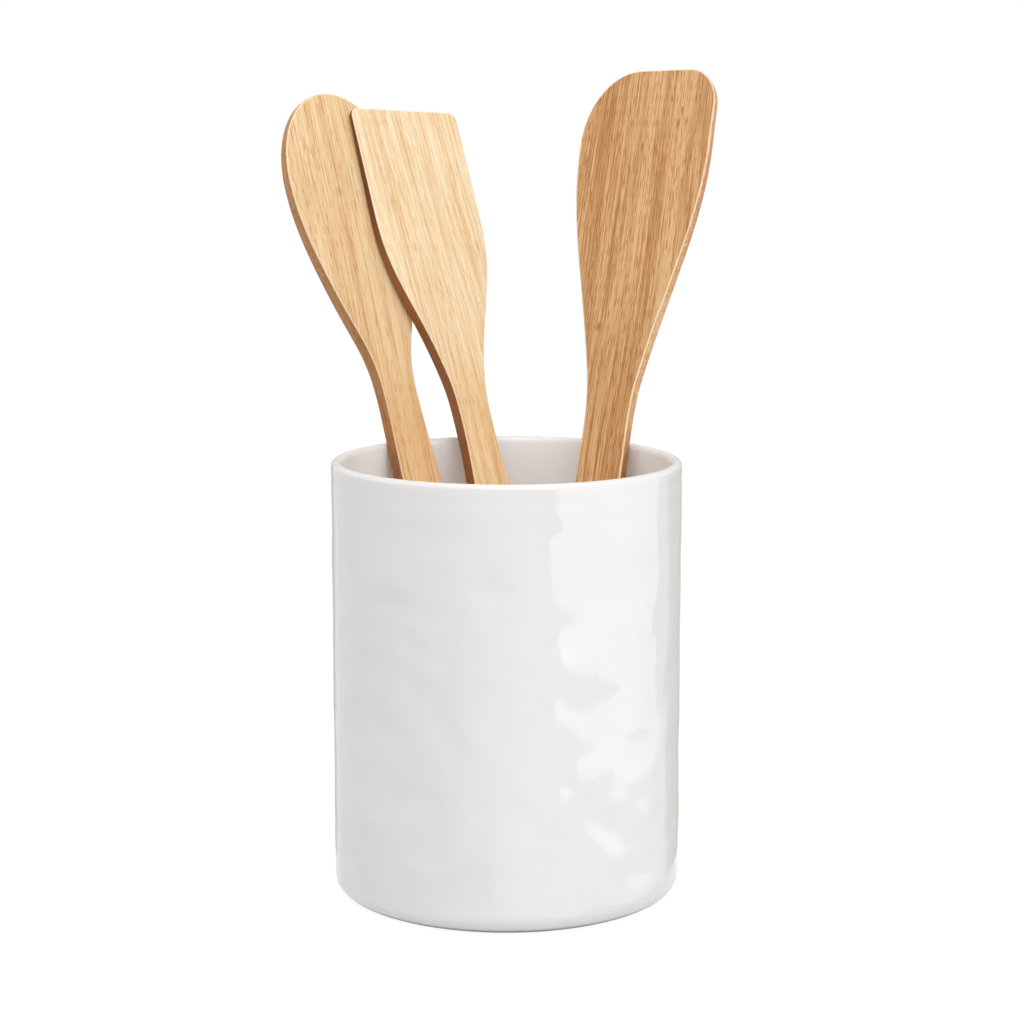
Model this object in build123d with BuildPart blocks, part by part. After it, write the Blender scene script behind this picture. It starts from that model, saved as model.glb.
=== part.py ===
# A tall glazed crock that stands on a worktop and holds three flat beech utensils.
# Millimetres, +Z up, origin at the centre of the flat base. The camera side is -Y.
from build123d import *
from math import cos, hypot, radians, sin, sqrt
import os

os.makedirs("parts", exist_ok=True)

# Crock
crock_diameter = 132.0
crock_height = 165.0
wall_thickness = 4.0
floor_thickness = 7.0
base_corner_radius = 5.5
well_corner_radius = 9.0

# Fits
seat_clearance = 0.3
cutting_overrun = 5.0

# Round spatula, on the left
round_length = 321.0
round_blade_width = 56.6
round_tip_height = 40.0
round_neck_width = 16.4
round_neck_drop = 130.0
round_grip_width = 19.0
round_grip_drop = 175.0
round_handle_thickness = 6.3
round_tip_thickness = 3.9
round_edge_radius = 0.9

# Square-ended turner, in the middle
turner_length = 319.0
turner_blade_width = 51.2
turner_corner_radius = 3.6
turner_side_drop = 48.0
turner_neck_width = 14.8
turner_neck_drop = 140.0
turner_grip_width = 18.4
turner_grip_drop = 182.0
turner_handle_thickness = 6.2
turner_tip_thickness = 2.3
turner_edge_radius = 0.8

# Corner spatula, on the right: a broad rounded corner at its left and a tighter one at its right
corner_length = 337.0
corner_blade_width = 55.6
corner_broad_width = 22.5
corner_broad_height = 32.0
corner_tight_width = 12.5
corner_tight_height = 16.5
corner_side_drop = 34.0
corner_neck_width = 18.4
corner_neck_drop = 155.0
corner_grip_width = 19.2
corner_grip_drop = 200.0
corner_handle_thickness = 6.4
corner_tip_thickness = 3.9
corner_edge_radius = 0.9

# Length of blade over which each utensil thins towards its tip
blade_taper_length = 150.0

# Points of each shoulder: how far down from the widest place to the neck,
# and how much of the blade's extra width is left there
round_shoulder_shares = ((0.33, 0.79), (0.67, 0.30))
turner_shoulder_shares = ((0.24, 0.86), (0.56, 0.34), (0.75, 0.09))
corner_shoulder_shares = ((0.31, 0.79), (0.55, 0.45), (0.80, 0.11))

# Places down the straight side of the turner's blade where its room is measured
blade_station_shares = (0, 0.25, 0.5, 0.75, 1)

# Where each handle stands on the floor, as shares of the well's radius
round_foot_shares = (0.053, -0.261)
turner_foot_shares = (0.456, -0.269)
corner_foot_shares = (0.224, -0.590)

# Bearing of each utensil where it passes the rim, from +X towards +Y, and its turn
# about its own length: positive brings the left edge towards -Y
round_bearing = 131.9
turner_bearing = 102.4
corner_bearing = 45.2
round_turn = 36.7
turner_turn = 33.0
corner_turn = -20.5

# The leaning utensils come to rest over this many steps, each closing a share of the gap
settling_steps = 40
settling_share = 0.4

well_radius = crock_diameter / 2 - wall_thickness
lip_radius = wall_thickness / 2
lip_centre_height = crock_height - lip_radius


def leaning_frame(foot_shares, reach, bearing, turn, handle_width, handle_thickness):
    """Plane of a utensil whose handle end rests on the floor: x across, y up its length."""
    rim_point = Vector(reach * cos(radians(bearing)), reach * sin(radians(bearing)), lip_centre_height)
    foot = Vector(well_radius * foot_shares[0], well_radius * foot_shares[1], floor_thickness)
    length_axis = (rim_point - foot).normalized()
    level = (Vector(1, 0, 0) - length_axis * length_axis.X).normalized()
    away = length_axis.cross(level)
    across = level * cos(radians(turn)) + away * sin(radians(turn))
    front = across.cross(length_axis)
    end_radius = handle_width / 2
    end_drop = end_radius * (sqrt(across.Z**2 + length_axis.Z**2) - length_axis.Z)
    rise = seat_clearance + end_drop + handle_thickness / 2 * abs(front.Z)
    foot = foot + Vector(0, 0, rise)
    return Plane(origin=foot, x_dir=across, z_dir=front)


def gap_to_rim(frame, handle_width, handle_thickness):
    """Room between a handle's back corners and the rounded lip of the crock."""
    length_axis = frame.y_dir
    climb = (lip_centre_height - frame.origin.Z) / length_axis.Z
    middle = frame.origin + length_axis * climb
    outward = hypot(middle.X, middle.Y)
    lean = hypot(length_axis.X, length_axis.Y) / length_axis.Z
    upright = 1 / sqrt(1 + lean**2)
    furthest = outward
    for side in (-1, 1):
        corner = frame.x_dir * (side * handle_width / 2) - frame.z_dir * (handle_thickness / 2)
        corner = middle + corner - length_axis * (corner.Z / length_axis.Z)
        furthest = max(furthest, hypot(corner.X, corner.Y))
    return (well_radius + lip_radius - furthest) * upright - lip_radius


def back_depth(handle_thickness, tip_thickness, drop):
    """How far a utensil's back lies behind the middle of its handle, at a distance from its tip."""
    thinned = max(blade_taper_length - drop, 0) / blade_taper_length
    return handle_thickness / 2 - (handle_thickness - tip_thickness) * thinned**2


def gap_to_face(
    frame, length, blade_width, side_drop, handle_thickness, tip_thickness, face_frame, face_height
):
    """Room between the left back edge of a blade and the flat face that it leans on."""
    room = length
    for share in blade_station_shares:
        drop = side_drop * share
        depth = back_depth(handle_thickness, tip_thickness, drop)
        middle = frame.origin + frame.y_dir * (length - drop)
        edge = middle - frame.x_dir * (blade_width / 2) - frame.z_dir * depth
        room = min(room, (edge - face_frame.origin).dot(face_frame.z_dir) - face_height)
    return room


def rest_on_rim(foot_shares, bearing, turn, handle_width, handle_thickness):
    """Lean a utensil back until its handle lies against the lip."""
    reach = well_radius / 2
    for _ in range(settling_steps):
        frame = leaning_frame(foot_shares, reach, bearing, turn, handle_width, handle_thickness)
        room = gap_to_rim(frame, handle_width, handle_thickness) - seat_clearance
        reach = reach + room * settling_share
    return frame


def draw_shoulder(length, blade_width, side_drop, neck_width, neck_drop, shares, side=1):
    """Curve from the widest place of a blade to its neck, on the right side or, with -1, the left."""
    points = [(side * blade_width / 2, length - side_drop)]
    for down_share, width_share in shares:
        width = neck_width + (blade_width - neck_width) * width_share
        points.append((side * width / 2, length - side_drop - (neck_drop - side_drop) * down_share))
    points.append((side * neck_width / 2, length - neck_drop))
    Spline(*points, tangents=((0, -1), (0, -1)))


def draw_handle(length, neck_width, neck_drop, grip_width, grip_drop, side=1):
    """Curve from the neck to the full grip, then straight to the rounded end."""
    neck = side * neck_width / 2
    grip = side * grip_width / 2
    end_centre = grip_width / 2
    Spline((neck, length - neck_drop), (grip, length - grip_drop), tangents=((0, -1), (0, -1)))
    Line((grip, length - grip_drop), (grip, end_centre))
    TangentArc((grip, end_centre), (0, 0), tangent=(0, -1))


def draw_side(length, handle_thickness, tip_thickness):
    """Side view of a utensil: flat front, and a back that thins towards the tip."""
    front = handle_thickness / 2
    taper_start = length - blade_taper_length
    tip_back = front - tip_thickness
    Polyline((taper_start, -front), (-cutting_overrun, -front), (-cutting_overrun, front), (length, front))
    Line((length, front), (length, tip_back))
    TangentArc((taper_start, -front), (length, tip_back), tangent=(1, 0))


def soft_edges(edges, frame, length):
    """Edges all round the front and the back, without the seams and the line where the back thins."""
    taper_start = length - blade_taper_length

    def is_soft(edge):
        direction = edge.tangent_at(0.5)
        along = (edge.position_at(0.5) - frame.origin).dot(frame.y_dir)
        seam = abs(direction.dot(frame.z_dir)) > 0.5
        crease = abs(along - taper_start) < seat_clearance and abs(direction.dot(frame.x_dir)) > 0.9
        return not seam and not crease

    return edges.filter_by(is_soft)


# Crock: one turned wall with a rounded lip, a rounded foot and a flat base
with BuildPart() as crock:
    with BuildSketch(Plane.XZ) as crock_section:
        with BuildLine() as crock_profile:
            outer = crock_diameter / 2
            well_floor = well_radius - well_corner_radius
            well_turn = floor_thickness + well_corner_radius
            Line((0, 0), (outer - base_corner_radius, 0))
            TangentArc((outer - base_corner_radius, 0), (outer, base_corner_radius), tangent=(1, 0))
            Line((outer, base_corner_radius), (outer, lip_centre_height))
            TangentArc((outer, lip_centre_height), (well_radius, lip_centre_height), tangent=(0, 1))
            Line((well_radius, lip_centre_height), (well_radius, well_turn))
            TangentArc((well_radius, well_turn), (well_floor, floor_thickness), tangent=(0, -1))
            Line((well_floor, floor_thickness), (0, floor_thickness))
            Line((0, floor_thickness), (0, 0))
        make_face()
    revolve(axis=Axis.Z)
crock.part.label = "crock"
export_step(crock.part, "parts/crock.step")

# Round spatula: an oval blade on a slim neck, leaning on the lip at the back left
round_frame = rest_on_rim(
    round_foot_shares, round_bearing, round_turn, round_grip_width, round_handle_thickness
)
round_side_plane = Plane(round_frame.origin, x_dir=round_frame.y_dir, z_dir=round_frame.x_dir)

with BuildPart() as round_spatula:
    with BuildSketch(round_frame) as round_plan:
        with BuildLine() as round_outline:
            EllipticalCenterArc(
                (0, round_length - round_tip_height), round_blade_width / 2, round_tip_height,
                start_angle=0, arc_size=90,
            )
            draw_shoulder(
                round_length, round_blade_width, round_tip_height,
                round_neck_width, round_neck_drop, round_shoulder_shares,
            )
            draw_handle(round_length, round_neck_width, round_neck_drop, round_grip_width, round_grip_drop)
            mirror(about=Plane.YZ)
        make_face()
    extrude(amount=round_handle_thickness, both=True)
    with BuildSketch(round_side_plane) as round_side:
        with BuildLine() as round_side_outline:
            draw_side(round_length, round_handle_thickness, round_tip_thickness)
        make_face()
    extrude(amount=round_blade_width, both=True, mode=Mode.INTERSECT)
    fillet(soft_edges(round_spatula.edges(), round_frame, round_length), round_edge_radius)
round_spatula.part.label = "round_spatula"
export_step(round_spatula.part, "parts/round_spatula.step")

# Turner: a square blade with small corners, whose upper left corner leans on the round spatula
turner_reach = well_radius / 2
for _ in range(settling_steps):
    turner_frame = leaning_frame(
        turner_foot_shares, turner_reach, turner_bearing, turner_turn,
        turner_grip_width, turner_handle_thickness,
    )
    turner_room = gap_to_face(
        turner_frame, turner_length, turner_blade_width, turner_side_drop,
        turner_handle_thickness, turner_tip_thickness, round_frame, round_handle_thickness / 2,
    )
    turner_reach = turner_reach + (turner_room - seat_clearance) * settling_share
turner_side_plane = Plane(turner_frame.origin, x_dir=turner_frame.y_dir, z_dir=turner_frame.x_dir)

with BuildPart() as turner:
    with BuildSketch(turner_frame) as turner_plan:
        with BuildLine() as turner_outline:
            turner_half = turner_blade_width / 2
            turner_corner = turner_length - turner_corner_radius
            turner_side = turner_length - turner_side_drop
            Line((0, turner_length), (turner_half - turner_corner_radius, turner_length))
            TangentArc(
                (turner_half - turner_corner_radius, turner_length), (turner_half, turner_corner),
                tangent=(1, 0),
            )
            Line((turner_half, turner_corner), (turner_half, turner_side))
            draw_shoulder(
                turner_length, turner_blade_width, turner_side_drop,
                turner_neck_width, turner_neck_drop, turner_shoulder_shares,
            )
            draw_handle(
                turner_length, turner_neck_width, turner_neck_drop, turner_grip_width, turner_grip_drop
            )
            mirror(about=Plane.YZ)
        make_face()
    extrude(amount=turner_handle_thickness, both=True)
    with BuildSketch(turner_side_plane) as turner_side_view:
        with BuildLine() as turner_side_outline:
            draw_side(turner_length, turner_handle_thickness, turner_tip_thickness)
        make_face()
    extrude(amount=turner_blade_width, both=True, mode=Mode.INTERSECT)
    fillet(soft_edges(turner.edges(), turner_frame, turner_length), turner_edge_radius)
turner.part.label = "turner"
export_step(turner.part, "parts/turner.step")

# Corner spatula: a broad blade with rounded corners, leaning on the lip at the back right
corner_frame = rest_on_rim(
    corner_foot_shares, corner_bearing, corner_turn, corner_grip_width, corner_handle_thickness
)
corner_side_plane = Plane(corner_frame.origin, x_dir=corner_frame.y_dir, z_dir=corner_frame.x_dir)

with BuildPart() as corner_spatula:
    with BuildSketch(corner_frame) as corner_plan:
        with BuildLine() as corner_outline:
            corner_half = corner_blade_width / 2
            broad_centre = corner_broad_width - corner_half
            tight_centre = corner_half - corner_tight_width
            EllipticalCenterArc(
                (broad_centre, corner_length - corner_broad_height),
                corner_broad_width, corner_broad_height, start_angle=90, arc_size=90,
            )
            Line((broad_centre, corner_length), (tight_centre, corner_length))
            EllipticalCenterArc(
                (tight_centre, corner_length - corner_tight_height),
                corner_tight_width, corner_tight_height, start_angle=0, arc_size=90,
            )
            for corner_side, corner_height in ((-1, corner_broad_height), (1, corner_tight_height)):
                corner_edge = corner_side * corner_half
                if corner_side_drop > corner_height:
                    Line(
                        (corner_edge, corner_length - corner_height),
                        (corner_edge, corner_length - corner_side_drop),
                    )
                draw_shoulder(
                    corner_length, corner_blade_width, corner_side_drop,
                    corner_neck_width, corner_neck_drop, corner_shoulder_shares, corner_side,
                )
                draw_handle(
                    corner_length, corner_neck_width, corner_neck_drop,
                    corner_grip_width, corner_grip_drop, corner_side,
                )
        make_face()
    extrude(amount=corner_handle_thickness, both=True)
    with BuildSketch(corner_side_plane) as corner_side_view:
        with BuildLine() as corner_side_outline:
            draw_side(corner_length, corner_handle_thickness, corner_tip_thickness)
        make_face()
    extrude(amount=corner_blade_width, both=True, mode=Mode.INTERSECT)
    fillet(soft_edges(corner_spatula.edges(), corner_frame, corner_length), corner_edge_radius)
corner_spatula.part.label = "corner_spatula"
export_step(corner_spatula.part, "parts/corner_spatula.step")
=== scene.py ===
# Looks of a tall glazed crock that holds three flat beech utensils.
# Metres, +Z up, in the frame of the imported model. The camera side is -Y.
from math import cos, hypot, pi, radians, sin

import bmesh
import bpy
import numpy as np
from mathutils import Matrix, Vector


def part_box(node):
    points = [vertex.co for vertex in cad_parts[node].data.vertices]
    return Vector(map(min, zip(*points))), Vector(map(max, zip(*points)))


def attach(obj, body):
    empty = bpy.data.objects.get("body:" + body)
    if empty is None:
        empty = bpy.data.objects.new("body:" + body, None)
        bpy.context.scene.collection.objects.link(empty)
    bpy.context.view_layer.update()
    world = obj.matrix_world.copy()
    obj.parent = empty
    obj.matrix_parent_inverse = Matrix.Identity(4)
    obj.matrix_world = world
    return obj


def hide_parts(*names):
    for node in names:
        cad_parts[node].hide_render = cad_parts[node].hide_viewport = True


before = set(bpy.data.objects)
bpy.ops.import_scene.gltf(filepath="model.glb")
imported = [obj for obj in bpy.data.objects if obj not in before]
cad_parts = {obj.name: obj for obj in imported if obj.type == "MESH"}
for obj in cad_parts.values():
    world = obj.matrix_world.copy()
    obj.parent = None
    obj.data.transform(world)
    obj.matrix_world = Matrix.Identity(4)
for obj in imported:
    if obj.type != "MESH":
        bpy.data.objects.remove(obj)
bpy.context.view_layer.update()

mm = 0.001

# Crock, as in the part's source
_, crock_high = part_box("crock")
crock_radius = crock_high.x
crock_height = crock_high.z
wall_thickness = 4.0 * mm
floor_thickness = 7.0 * mm
base_corner_radius = 5.5 * mm
well_corner_radius = 9.0 * mm
lip_radius = wall_thickness / 2

# How finely the crock is turned
sides_round = 256
outer_wall_rows = 100
inner_wall_rows = 36
lip_segments = 8
corner_segments = 10
joined_below = 0.02 * mm

# Groove under the lip
groove_height = crock_height - 6.5 * mm
groove_width = 1.0 * mm
groove_depth = 0.12 * mm

# The waves that hands leave in the wall before it dries
wave_height = 2.1 * mm
wave_length = 22 * mm
wave_flatness = 0.9
wave_seed_place = (0.15, 0.24, 0.18)
calm_foot = 22 * mm
calm_lip = 20 * mm
still_lip_share = 0.3
side_wave_share = 0.3

# Edges of the utensils sharper than this stay sharp
smooth_below = radians(35)
joined_utensil_below = mm / 1000


# Modelling

def only(piece):
    """Selects one piece and nothing else."""
    bpy.ops.object.select_all(action="DESELECT")
    piece.select_set(True)
    bpy.context.view_layer.objects.active = piece


def pick(piece, kind, wanted):
    """In edit mode, selects only the vertices, edges or faces that pass the test."""
    kinds = tuple(kind == one for one in ("verts", "edges", "faces"))
    bpy.context.tool_settings.mesh_select_mode = kinds
    bpy.ops.mesh.select_all(action="DESELECT")
    mesh = bmesh.from_edit_mesh(piece.data)
    for part in getattr(mesh, kind):
        part.select_set(wanted(part))
    mesh.select_flush_mode()
    bmesh.update_edit_mesh(piece.data)


def ring_at(height, radius):
    """Test for the edges of the level circle at a height and a radius."""
    def wanted(edge):
        return all(
            abs(corner.co.z - height) < joined_below
            and abs(hypot(corner.co.x, corner.co.y) - radius) < joined_below
            for corner in edge.verts
        )
    return wanted


def upright_at(radius):
    """Test for the upright edges of a wall at a radius."""
    def wanted(edge):
        first, second = (corner.co for corner in edge.verts)
        on_wall = abs(hypot(first.x, first.y) - radius) < joined_below
        return on_wall and abs(first.z - second.z) > crock_height / 2
    return wanted


def apply_modifier(piece, kind, name, **settings):
    """Adds a modifier, sets it and applies it."""
    only(piece)
    bpy.ops.object.modifier_add(type=kind)
    modifier = piece.modifiers[-1]
    modifier.name = name
    for setting, value in settings.items():
        setattr(modifier, setting, value)
    bpy.ops.object.modifier_apply(modifier=name)


def round_off(crock, wanted, radius, segments, **settings):
    """Rounds the edges that pass the test."""
    pick(crock, "edges", wanted)
    bpy.ops.mesh.bevel(offset=radius, segments=segments, affect="EDGES", **settings)


def turn_crock():
    """The crock: a solid cylinder, hollowed, then rounded at its lip, foot and well."""
    bpy.ops.object.select_all(action="DESELECT")
    bpy.ops.mesh.primitive_cylinder_add(
        vertices=sides_round, radius=crock_radius, depth=crock_height,
        location=(0, 0, crock_height / 2), end_fill_type="NGON",
    )
    crock = bpy.context.object
    crock.name = "glazed_crock"
    bpy.ops.object.transform_apply(location=True, rotation=True, scale=True)
    well_radius = crock_radius - wall_thickness

    bpy.ops.object.mode_set(mode="EDIT")
    pick(crock, "faces", lambda face: face.normal.z > 0.5)
    bpy.ops.mesh.inset(thickness=wall_thickness)
    bpy.ops.mesh.extrude_region_move(
        TRANSFORM_OT_translate={"value": (0, 0, floor_thickness - crock_height)}
    )
    outer_lip = ring_at(crock_height, crock_radius)
    inner_lip = ring_at(crock_height, well_radius)
    round_off(
        crock, lambda edge: outer_lip(edge) or inner_lip(edge),
        lip_radius, lip_segments, clamp_overlap=False,
    )
    round_off(crock, ring_at(0, crock_radius), base_corner_radius, corner_segments)
    round_off(crock, ring_at(floor_thickness, well_radius), well_corner_radius, corner_segments)
    for radius, rows in ((crock_radius, outer_wall_rows), (well_radius, inner_wall_rows)):
        pick(crock, "edges", upright_at(radius))
        bpy.ops.mesh.subdivide(number_cuts=rows)
    bpy.ops.mesh.select_all(action="SELECT")
    bpy.ops.mesh.remove_doubles(threshold=joined_below)
    bpy.ops.mesh.normals_make_consistent(inside=False)
    pick(crock, "verts", lambda corner: abs(corner.co.z - groove_height) < groove_width
         and hypot(corner.co.x, corner.co.y) > crock_radius - joined_below)
    groove_scale = 1 - groove_depth / crock_radius
    bpy.ops.transform.resize(value=(groove_scale, groove_scale, 1), center_override=(0, 0, 0))
    bpy.ops.object.mode_set(mode="OBJECT")
    return crock


def eased(value):
    """0 below 0, 1 above 1, and a smooth rise between them."""
    value = min(max(value, 0), 1)
    return (3 - 2 * value) * value**2


def wave_share(place):
    """Share of the waves at a place: none at the lip and the foot, most at the front."""
    to_front = -place.y / hypot(place.x, place.y) if place.y else 0
    from_lip = eased((crock_height - place.z) / calm_lip - still_lip_share)
    upright = eased(place.z / calm_foot) * from_lip
    return upright * (side_wave_share + (1 - side_wave_share) * eased(to_front * 2 - 0.5))


def leave_waves(crock):
    """Low, uneven waves in the wall, as on a pot shaped by hand."""
    group = crock.vertex_groups.new(name="wavy_wall")
    for vertex in crock.data.vertices:
        group.add([vertex.index], wave_share(vertex.co), "REPLACE")
    bpy.ops.object.empty_add(location=wave_seed_place)
    grid = bpy.context.object
    grid.scale = (wave_length, wave_length, wave_length * wave_flatness)
    bpy.context.view_layer.update()
    clouds = bpy.data.textures.new("hand_waves", "CLOUDS")
    clouds.noise_scale = 1
    clouds.noise_depth = 1
    apply_modifier(
        crock, "DISPLACE", "waves", texture=clouds, texture_coords="OBJECT",
        texture_coords_object=grid, direction="NORMAL", vertex_group=group.name,
        strength=wave_height, mid_level=0.5,
    )
    bpy.data.objects.remove(grid)
    bpy.data.textures.remove(clouds)
    crock.vertex_groups.clear()


def carve(node, name):
    """A utensil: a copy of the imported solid, with its loose triangles joined and shaded smooth."""
    piece = bpy.data.objects.new(name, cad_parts[node].data.copy())
    bpy.context.scene.collection.objects.link(piece)
    only(piece)
    bpy.ops.object.mode_set(mode="EDIT")
    bpy.ops.mesh.select_all(action="SELECT")
    bpy.ops.mesh.remove_doubles(threshold=joined_utensil_below)
    bpy.ops.object.mode_set(mode="OBJECT")
    if piece.data.has_custom_normals:
        bpy.ops.mesh.customdata_custom_splitnormals_clear()
    bpy.ops.object.shade_smooth_by_angle(angle=smooth_below)
    apply_modifier(piece, "WEIGHTED_NORMAL", "flat_faces", keep_sharp=True, weight=100)
    return piece


# Writing shaders

def socket_colour(value):
    """A wire as it is, and a plain colour with its alpha."""
    return value if isinstance(value, Wire) else (*value, 1)


class Wire:
    """One output of a shader node, so that shader maths reads as plain Python."""

    def __init__(self, tree, socket=None):
        self.tree = tree
        self.socket = socket

    def node(self, kind, settings=None, sockets=None, output=0):
        """Adds a node, its settings first, then the values or links of its sockets."""
        made = self.tree.nodes.new(kind)
        for name, value in (settings or {}).items():
            setattr(made, name, value)
        for name, value in (sockets or {}).items():
            if isinstance(value, Wire):
                self.tree.links.new(value.socket, made.inputs[name])
            else:
                made.inputs[name].default_value = value
        return Wire(self.tree, made.outputs[output] if made.outputs else None)

    def maths(self, operation, first, second):
        return self.node("ShaderNodeMath", {"operation": operation}, {0: first, 1: second})

    def __add__(self, other):
        return self.maths("ADD", self, other)

    def __radd__(self, other):
        return self.maths("ADD", other, self)

    def __sub__(self, other):
        return self.maths("SUBTRACT", self, other)

    def __rsub__(self, other):
        return self.maths("SUBTRACT", other, self)

    def __mul__(self, other):
        return self.maths("MULTIPLY", self, other)

    def __rmul__(self, other):
        return self.maths("MULTIPLY", other, self)

    def __abs__(self):
        return self.maths("ABSOLUTE", self, 0)

    def between(self, low, high):
        """0 below low, 1 above high, and a smooth rise between them."""
        return self.node(
            "ShaderNodeMapRange", {"interpolation_type": "SMOOTHSTEP"},
            {"Value": self, "From Min": low, "From Max": high},
        )

    def part(self, axis):
        """One of the three numbers of these coordinates."""
        return self.node("ShaderNodeSeparateXYZ", {}, {0: self}, axis)

    def along(self, direction):
        """How far these coordinates reach along a direction."""
        sockets = {0: self, 1: direction}
        return self.node("ShaderNodeVectorMath", {"operation": "DOT_PRODUCT"}, sockets, "Value")

    def stretched(self, scale):
        """These coordinates, each multiplied by its own scale."""
        sockets = {0: self, 1: scale}
        return self.node("ShaderNodeVectorMath", {"operation": "MULTIPLY"}, sockets)

    def noise(self, scale, detail):
        """Soft noise at these coordinates, stretched by the three scales."""
        sockets = {"Vector": self.stretched(scale), "Scale": 1.0, "Detail": detail}
        return self.node("ShaderNodeTexNoise", {}, {**sockets, "Roughness": 0.5})

    def tinted(self, share, tint):
        """This colour, multiplied by a tint where the share is 1."""
        return self.node(
            "ShaderNodeMix", {"data_type": "RGBA", "blend_type": "MULTIPLY"},
            {0: share, 6: self, 7: socket_colour(tint)}, 2,
        )

    def colour(self, low, high):
        """The colour between two, by this value."""
        return self.node(
            "ShaderNodeMix", {"data_type": "RGBA", "clamp_factor": True},
            {0: self, 6: socket_colour(low), 7: socket_colour(high)}, 2,
        )


def new_material(name):
    """An empty material and the start of its wires."""
    material = bpy.data.materials.new(name)
    material.use_nodes = True
    material.node_tree.nodes.clear()
    return material, Wire(material.node_tree)


def coordinates(wires, kind):
    return wires.node("ShaderNodeTexCoord", {}, {}, kind)


def ray(wires, kind):
    """1 for rays of a kind, 0 for the others."""
    return wires.node("ShaderNodeLightPath", {}, {}, kind)


def bump(wires, strength, distance, height):
    sockets = {"Strength": strength, "Distance": distance, "Height": height}
    return wires.node("ShaderNodeBump", {}, sockets)


def finish_material(wires, surface):
    wires.node("ShaderNodeOutputMaterial", {}, {"Surface": surface})


# Glaze

outer_tones = ((0.784, 0.773, 0.764), (0.802, 0.793, 0.785))
# The inside tone is whiter than the outside, as painted light on the inner wall.
inside_painted_light_tone = (0.975, 0.967, 0.96)
# The lip tone is painted shade on the top of the lip.
lip_shade_tone = (0.70, 0.68, 0.66)
# The clay tones of the unglazed foot are dark enough to paint the shade along its contact too.
foot_clay_and_shade_tones = ((0.34, 0.32, 0.27), (0.46, 0.44, 0.38))
clay_relief = 0.05 * mm
glaze_roughness = 0.015
cloud_roughness = 0.02
clay_roughness = 0.6
glaze_refraction = 1.5

# Where the foot is unglazed and painted with shade along its contact, and where painted shade
# darkens the top of the lip, by how far the surface faces up and by height
bare_foot_and_shade_facing = (-0.55, -0.75)
bare_foot_and_shade_height = (2.5 * mm, 1.5 * mm)
lip_shade_facing = (0.45, 0.85)
lip_shade_height = (crock_height - 3 * mm, crock_height - 1 * mm)


def glaze():
    """White glaze with faint clouds, painted light that whitens the inside, painted shade on the top
    of the lip, and unglazed clay at the foot that also paints the shade along its contact.
    """
    material, wires = new_material("white_glaze")
    place = coordinates(wires, "Object")
    normal = coordinates(wires, "Normal")
    height = place.part("Z")
    facing_up = normal.part("Z")
    # Unglazed clay at the foot, also painted shade along its contact.
    bare_foot_and_shade = facing_up.between(*bare_foot_and_shade_facing) * height.between(*bare_foot_and_shade_height)
    cloud = place.noise((18, 18, 12), 3.0)
    speck = place.noise((420, 420, 420), 2.0)
    # Painted light: the inside is whiter than the outside.
    inside = place.along(normal).between(0, -crock_radius / 2)
    tone = cloud.between(0.3, 0.7).colour(*outer_tones)
    tone = inside.colour(tone, inside_painted_light_tone)
    # Painted shade on the top of the lip.
    painted_lip_shade = facing_up.between(*lip_shade_facing) * height.between(*lip_shade_height)
    tone = painted_lip_shade.colour(tone, lip_shade_tone)
    shader = wires.node("ShaderNodeBsdfPrincipled", {}, {
        "Base Color": bare_foot_and_shade.colour(tone, speck.colour(*foot_clay_and_shade_tones)),
        "Roughness": glaze_roughness + cloud * cloud_roughness + bare_foot_and_shade * clay_roughness,
        "IOR": glaze_refraction,
        "Normal": bump(wires, 1.0, clay_relief, speck * bare_foot_and_shade),
    })
    finish_material(wires, shader)
    return material


# Beech

# Layers of the grain: noise across, along and through, per mm, its detail and its strength
grain_layers = {
    "bands": ((0.10, 0.0025, 0.1), 0.0, 0.9),
    "streaks": ((0.27, 0.006, 0.25), 0.0, 0.6),
    "stripes": ((0.62, 0.010, 0.6), 0.0, 0.55),
    "lines": ((1.3, 0.016, 1.2), 0.0, 0.7),
    "hairs": ((3.0, 0.033, 2.8), 0.5, 1.9),
}
grain_middle = 0.64
grain_wander = 6
seed_step = 3.7

# Faces, painted highlights along the rounded edges and narrow sides, by how far the surface faces
# the front or the back
side_facing = (0.80, 0.35)
edge_highlight_facing = (0.985, 0.90)
edge_highlight_share = 0.8

# Height over which painted shade darkens the wood towards the rim
painted_rim_shade_height = (crock_height + 60 * mm, crock_height)

wood_relief = 0.1 * mm
wood_roughness = 0.5
pore_roughness = 0.15
wood_shine = 0.28


def own_frame(piece):
    """The middle of a flat utensil and its turn: x across, y up its length, z out of its front."""
    points = np.array([vertex.co for vertex in piece.data.vertices])
    middle = points.mean(0)
    _, directions = np.linalg.eigh(np.cov((points - middle).T))
    along = Vector(directions[:, 2])
    front = Vector(directions[:, 0])
    along = along if along.z > 0 else -along
    front = front if front.y < 0 else -front
    across = along.cross(front)
    return Vector(middle), Matrix((across, along, front)).transposed().to_euler("XYZ"), front


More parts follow.
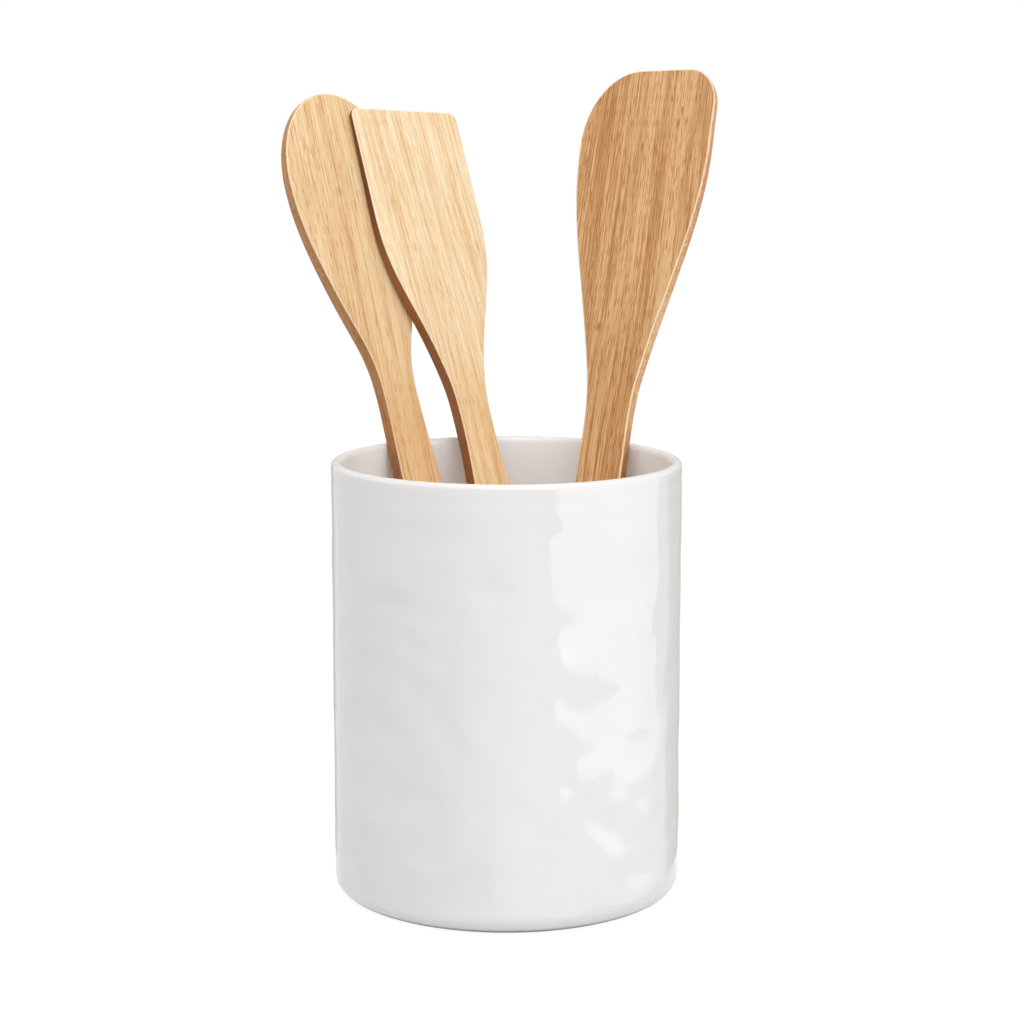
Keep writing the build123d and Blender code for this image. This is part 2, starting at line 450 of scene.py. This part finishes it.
def beech(name, piece, seed, slant, contrast, flecks, tones, edge, painted_rim_shade, sides, side_shade_height):
    """Straight-grained beech: long soft streaks, fine lines along them and short pores, with a
    painted highlight along the rounded edges, painted shade towards the rim, and sides whose tints
    paint light and shade.
    """
    material, wires = new_material(name)
    middle, turn, front = own_frame(piece)
    turn.rotate_axis("Z", radians(slant))
    place = coordinates(wires, "Object")
    normal = coordinates(wires, "Normal")
    own = wires.node(
        "ShaderNodeMapping", {"vector_type": "TEXTURE"},
        {"Vector": place, "Location": middle, "Rotation": turn, "Scale": (mm, mm, mm)},
    )
    wander = own.noise((0.02, 0.006, 0.02), 1.0) - 0.5
    shift = {"X": wander * grain_wander + seed, "Y": seed * seed_step, "Z": 0.0}
    drift = wires.node("ShaderNodeCombineXYZ", {}, shift)
    grain = wires.node("ShaderNodeVectorMath", {"operation": "ADD"}, {0: own, 1: drift})

    layers = {}
    shade = 0
    for layer, (scale, detail, strength) in grain_layers.items():
        layers[layer] = grain.noise(scale, detail) - 0.5
        shade = shade + layers[layer] * strength
    pores = grain.noise((4.0, 0.18, 3.2), 0.0).between(0.54, 0.72)
    gathered = grain.noise((0.25, 0.03, 0.2), 1.0).between(0.35, 0.65)
    pores = pores * (0.5 + gathered * 0.5)
    shade = (shade - pores * flecks) * contrast + grain_middle

    dark, mid, light = tones
    tone = (shade * 2).colour(dark, mid)
    tone = (shade * 2 - 1).colour(tone, light)
    facing = abs(normal.along(front))
    edge_on = facing.between(*side_facing)
    # Painted highlight along the rounded edges between the faces and the narrow sides.
    painted_edge_highlight = facing.between(*edge_highlight_facing) * (1 - edge_on)
    tone = (painted_edge_highlight * edge_highlight_share).colour(tone, edge)
    height = place.part("Z")
    # Painted shade: the faces darken towards the rim.
    tone = tone.tinted(height.between(*painted_rim_shade_height), painted_rim_shade)
    # Side tints: the edge grain's own tone plus painted light on lit sides and painted shade on
    # shaded sides and below the rim.
    tone = tone.tinted(edge_on, height.between(*side_shade_height).colour(*sides))

    relief = layers["lines"] + layers["hairs"] - pores
    shader = wires.node("ShaderNodeBsdfPrincipled", {}, {
        "Base Color": tone,
        "Roughness": wood_roughness + pores * pore_roughness,
        "Specular IOR Level": wood_shine,
        "Normal": bump(wires, 0.3, wood_relief, relief),
    })
    finish_material(wires, shader)
    return material


# Each utensil's wood: dark, middle and light tones, the tone of the painted highlight on its rounded
# edges, the tint of the painted shade towards the rim, and tints of its sides high up and low down,
# which are their edge-grain tone plus painted light and shade
utensils = {
    "round_spatula": {
        "slot": "light_beech", "seed": 13.0, "slant": -2.0, "contrast": 0.8, "flecks": 0.8,
        "tones": ((0.54, 0.279, 0.113), (0.684, 0.464, 0.243), (0.774, 0.594, 0.36)),
        "edge": (0.81, 0.666, 0.468), "painted_rim_shade": (0.93, 0.80, 0.67),
        "sides": ((0.66, 0.47, 0.33), (0.42, 0.28, 0.20)), "side_shade_height": (0.174, 0.152),
    },
    "turner": {
        "slot": "light_beech", "seed": 57.0, "slant": 2.0, "contrast": 0.8, "flecks": 0.7,
        "tones": ((0.621, 0.378, 0.18), (0.738, 0.549, 0.324), (0.801, 0.684, 0.477)),
        "edge": (0.828, 0.72, 0.558), "painted_rim_shade": (0.96, 0.84, 0.71),
        "sides": ((0.19, 0.075, 0.03), (0.40, 0.20, 0.10)), "side_shade_height": (0.262, 0.225),
    },
    "corner_spatula": {
        "slot": "brown_beech", "seed": 91.0, "slant": 0.0, "contrast": 1.0, "flecks": 1.0,
        "tones": ((0.36, 0.149, 0.045), (0.495, 0.266, 0.108), (0.621, 0.387, 0.18)),
        "edge": (0.81, 0.666, 0.468), "painted_rim_shade": (1.0, 0.98, 0.94),
        "sides": ((1.35, 1.40, 1.50), (0.56, 0.44, 0.35)), "side_shade_height": (0.174, 0.152),
    },
}


# Pieces

crock = turn_crock()
leave_waves(crock)
bpy.ops.object.shade_smooth()
crock.data.materials.clear()
crock.data.materials.append(glaze())
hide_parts("crock")
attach(crock, "crock")

for node, wood in utensils.items():
    piece = carve(node, "beech_" + node)
    slot = wood.pop("slot")
    piece.data.materials.clear()
    piece.data.materials.append(beech(slot + "_" + node, piece, **wood))
    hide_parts(node)
    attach(piece, node)


# Stage

table_radius = 0.085
floor_radius = 9.0
floor_sides = 96
floor_grey = 0.70
floor_glow = 1.15
seen_glow_share = 0.8
mirrored_glow_share = 0.75

# White room, with a grey wall behind and a bright wall at the right that only reflections see
room_fill = 0.6
grey_wall_way = (0.225, 0.974, 0.0)
grey_wall_edges = (0.777, 0.807)
grey_wall_tone = (0.60, 0.59, 0.55)
bright_wall_way = (0.707, -0.707, 0.0)
bright_wall_edges = (-0.15, 0.92)
bright_wall_gain = 0.7
low_edges = (0.18, 0.26)
low_gain = 0.8

# Lamps: bearing from the camera side towards +X, distance, height, width and brightness
lamps = {
    "key_softbox": (45, 1.0, 0.90, 0.7, 2.0),
    "front_softbox": (5, 0.75, 1.25, 0.9, 2.05),
    "left_softbox": (-80, 1.0, 0.8, 0.9, 0.25),
    "ceiling_softbox": (0, 0.02, 1.3, 1.2, 1.4),
}
aim_height = 0.15

# Side panel: its outline is across and up, in metres
panel_bearing = 78
panel_distance = 0.9
panel_brightness = 3.6
panel_fade = (-0.3, 0.46)
panel_far_tone = (0.6, 0.6, 0.6)
panel_outline = (
    (-1.00, 0.30), (-0.95, -0.02), (-0.86, -0.10), (-0.80, -0.17), (-0.52, -0.175),
    (-0.26, -0.175), (0.0, -0.18), (0.3, -0.21), (0.665, -0.235), (0.665, 0.30),
)


def seen_directly(wires):
    """1 for what the camera, a reflection or clear glass sees, 0 for light on the object."""
    missed = 1.0
    for kind in ("Is Camera Ray", "Is Glossy Ray", "Is Transmission Ray"):
        missed = (1 - ray(wires, kind)) * missed
    return 1 - missed


def floor_material():
    """White, and shaded a little by what stands on it."""
    material, wires = new_material("white_floor")
    matt = wires.node("ShaderNodeBsdfDiffuse", {}, {"Color": (*[floor_grey] * 3, 1)})
    glow = wires.node("ShaderNodeEmission", {}, {"Color": (1, 1, 1, 1), "Strength": floor_glow})
    share = ray(wires, "Is Camera Ray") * seen_glow_share
    share = share + ray(wires, "Is Glossy Ray") * mirrored_glow_share
    surface = wires.node("ShaderNodeMixShader", {}, {0: share, 1: matt, 2: glow})
    finish_material(wires, surface)
    return material


def add_circle(name, sides, radius, fill):
    bpy.ops.object.select_all(action="DESELECT")
    bpy.ops.mesh.primitive_circle_add(vertices=sides, radius=radius, fill_type=fill)
    circle = bpy.context.object
    circle.name = name
    return circle


def lay_floor():
    """A white table under the crock, level with a wide floor that the glaze doesn't mirror."""
    material = floor_material()
    table = add_circle("white_table", floor_sides, table_radius, "NGON")
    floor = add_circle("white_floor", floor_sides, table_radius, "NOTHING")
    bpy.ops.object.mode_set(mode="EDIT")
    bpy.ops.mesh.select_all(action="SELECT")
    bpy.ops.mesh.extrude_region_move(TRANSFORM_OT_translate={"value": (0, 0, 0)})
    bpy.ops.transform.resize(value=(floor_radius / table_radius,) * 3, center_override=(0, 0, 0))
    bpy.ops.mesh.select_all(action="SELECT")
    bpy.ops.mesh.normals_make_consistent(inside=False)
    bpy.ops.object.mode_set(mode="OBJECT")
    floor.visible_glossy = False
    for part in (table, floor):
        part.data.materials.append(material)


def lay_world():
    """White all round; less of it lights the object. Reflections also show the two walls."""
    world = bpy.data.worlds.new("white_room")
    bpy.context.scene.world = world
    world.use_nodes = True
    world.node_tree.nodes.clear()
    wires = Wire(world.node_tree)
    way = coordinates(wires, "Generated")
    glossy = ray(wires, "Is Glossy Ray")
    grey = glossy * way.along(grey_wall_way).between(*grey_wall_edges)
    low = way.along((0, 0, -1)).between(*low_edges)
    bright = glossy * way.along(bright_wall_way).between(*bright_wall_edges)
    bright = bright * (low * low_gain + bright_wall_gain)
    colour = grey.colour((1, 1, 1), grey_wall_tone)
    strength = seen_directly(wires) * (1 - room_fill) + room_fill + bright
    room = wires.node("ShaderNodeBackground", {}, {"Color": colour, "Strength": strength})
    wires.node("ShaderNodeOutputWorld", {}, {"Surface": room})


def around(bearing, distance, height):
    """A place at a distance from the crock's axis."""
    turn = radians(bearing)
    return Vector((distance * sin(turn), -distance * cos(turn), height))


def hang_lamp(name, bearing, distance, height, width, brightness):
    """A soft square lamp that faces the crock's axis."""
    light = bpy.data.lights.new(name, "AREA")
    light.shape = "RECTANGLE"
    light.size = width
    light.size_y = width
    light.energy = brightness * pi * width * width
    lamp = bpy.data.objects.new(name, light)
    bpy.context.scene.collection.objects.link(lamp)
    lamp.location = around(bearing, distance, height)
    lamp.rotation_mode = "QUATERNION"
    aim = Vector((0, 0, aim_height)) - lamp.location
    lamp.rotation_quaternion = aim.to_track_quat("-Z", "Y")
    lamp.visible_camera = False


def hang_panel(name):
    """A bright panel that only reflections see, less bright at its far end."""
    middle = around(panel_bearing, panel_distance, 0)
    turn = radians(panel_bearing)
    across = Vector((cos(turn), sin(turn), 0))
    panel = add_circle(name, len(panel_outline), panel_distance, "NGON")
    for vertex, (sideways, up) in zip(panel.data.vertices, panel_outline):
        vertex.co = middle + across * sideways + Vector((0, 0, up))
    material, wires = new_material(name)
    far_end = coordinates(wires, "Object").part("Y").between(*panel_fade)
    tone = far_end.colour((1, 1, 1), panel_far_tone)
    sockets = {"Color": tone, "Strength": panel_brightness}
    finish_material(wires, wires.node("ShaderNodeEmission", {}, sockets))
    panel.data.materials.append(material)
    panel.visible_camera = False
    panel.visible_diffuse = False
    panel.visible_transmission = False
    panel.visible_shadow = False


lay_floor()
lay_world()
for lamp_name, settings in lamps.items():
    hang_lamp(lamp_name, *settings)
hang_panel("side_panel")


# Camera: at the photograph's angle, without a shift, so that other views stay centred

image_width = 1024
camera_place = (0.0021, -0.92468, 0.29768)
camera_tilt = 9.396
focal_pixels = 2480.0

camera = bpy.data.cameras.new("camera")
camera.sensor_width = 36
camera.lens = focal_pixels / image_width * camera.sensor_width
camera_object = bpy.data.objects.new("camera", camera)
bpy.context.scene.collection.objects.link(camera_object)
camera_object.location = camera_place
camera_object.rotation_euler = (radians(90 - camera_tilt), 0, 0)
camera.clip_start = 0.01
bpy.context.scene.camera = camera_object

bpy.context.scene.view_settings.view_transform = "Standard"
